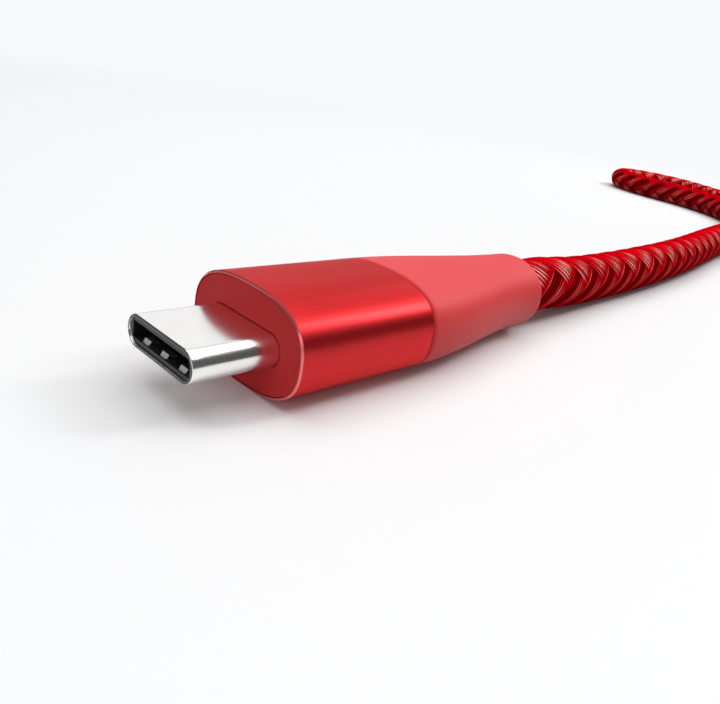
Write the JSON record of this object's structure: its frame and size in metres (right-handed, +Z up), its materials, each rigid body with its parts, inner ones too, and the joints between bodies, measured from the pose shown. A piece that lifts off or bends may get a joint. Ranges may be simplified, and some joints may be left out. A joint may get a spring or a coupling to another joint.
{
  "type": "charging cable",
  "caption": "Charging cable with a flat reversible plug at each end, red metal bodies, soft strain reliefs and a braided cord that is coiled and tied.",
  "frame": {"origin": "middle of the near connector's underside, on the surface that the cable lies on", "axes": "+X from the near plug's nose along its body towards the cord, +Y across the plug's wide side, +Z up"},
  "size_m": [0.2289, 0.1391, 0.0146],
  "materials": {
    "plug_steel": "polished stainless steel, faint drawing marks",
    "spring_steel": "thin bright spring sheet",
    "black_insulator": "black moulded insulator",
    "gold_contact": "gold-plated contacts",
    "board": "green solder mask",
    "chip": "black moulded chips",
    "wire_jacket": "white wire insulation",
    "ferrule_brass": "crimped brass",
    "pale_mould": "pale inner mould",
    "dark_red_plastic": "matte dark red moulded plastic",
    "red_anodised": "fine bead-blasted red anodised aluminium with a bright front bevel",
    "soft_red": "soft-touch matte red elastomer",
    "red_braid": "braided red nylon yarn",
    "tie_fabric": "black hook-and-loop strap"
  },
  "bodies": {
    "root": {"near_plug_shell": "plug_steel", "near_insulator": "black_insulator", "near_upper_contacts": "gold_contact", "near_lower_contacts": "gold_contact", "near_side_latch": "spring_steel", "near_upper_spring": "spring_steel", "near_lower_spring": "spring_steel", "near_rear_carrier": "black_insulator", "near_circuit_board": "board", "near_board_chips": "chip", "near_wires": "wire_jacket", "near_upper_can": "spring_steel", "near_lower_can": "spring_steel", "near_crimp_ferrule": "ferrule_brass", "near_inner_mould": "pale_mould", "near_face_plate": "dark_red_plastic", "near_metal_sleeve": "red_anodised", "near_strain_relief": "soft_red", "near_cord_end": "red_braid", "far_plug_shell": "plug_steel", "far_insulator": "black_insulator", "far_upper_contacts": "gold_contact", "far_lower_contacts": "gold_contact", "far_side_latch": "spring_steel", "far_upper_spring": "spring_steel", "far_lower_spring": "spring_steel", "far_rear_carrier": "black_insulator", "far_circuit_board": "board", "far_board_chips": "chip", "far_wires": "wire_jacket", "far_upper_can": "spring_steel", "far_lower_can": "spring_steel", "far_crimp_ferrule": "ferrule_brass", "far_inner_mould": "pale_mould", "far_face_plate": "dark_red_plastic", "far_metal_sleeve": "red_anodised", "far_strain_relief": "soft_red", "far_cord_end": "red_braid", "cord_run": "red_braid", "cord_coil": "red_braid", "cord_tail": "red_braid", "cable_tie": "tie_fabric"}
  },
  "joints": []
}
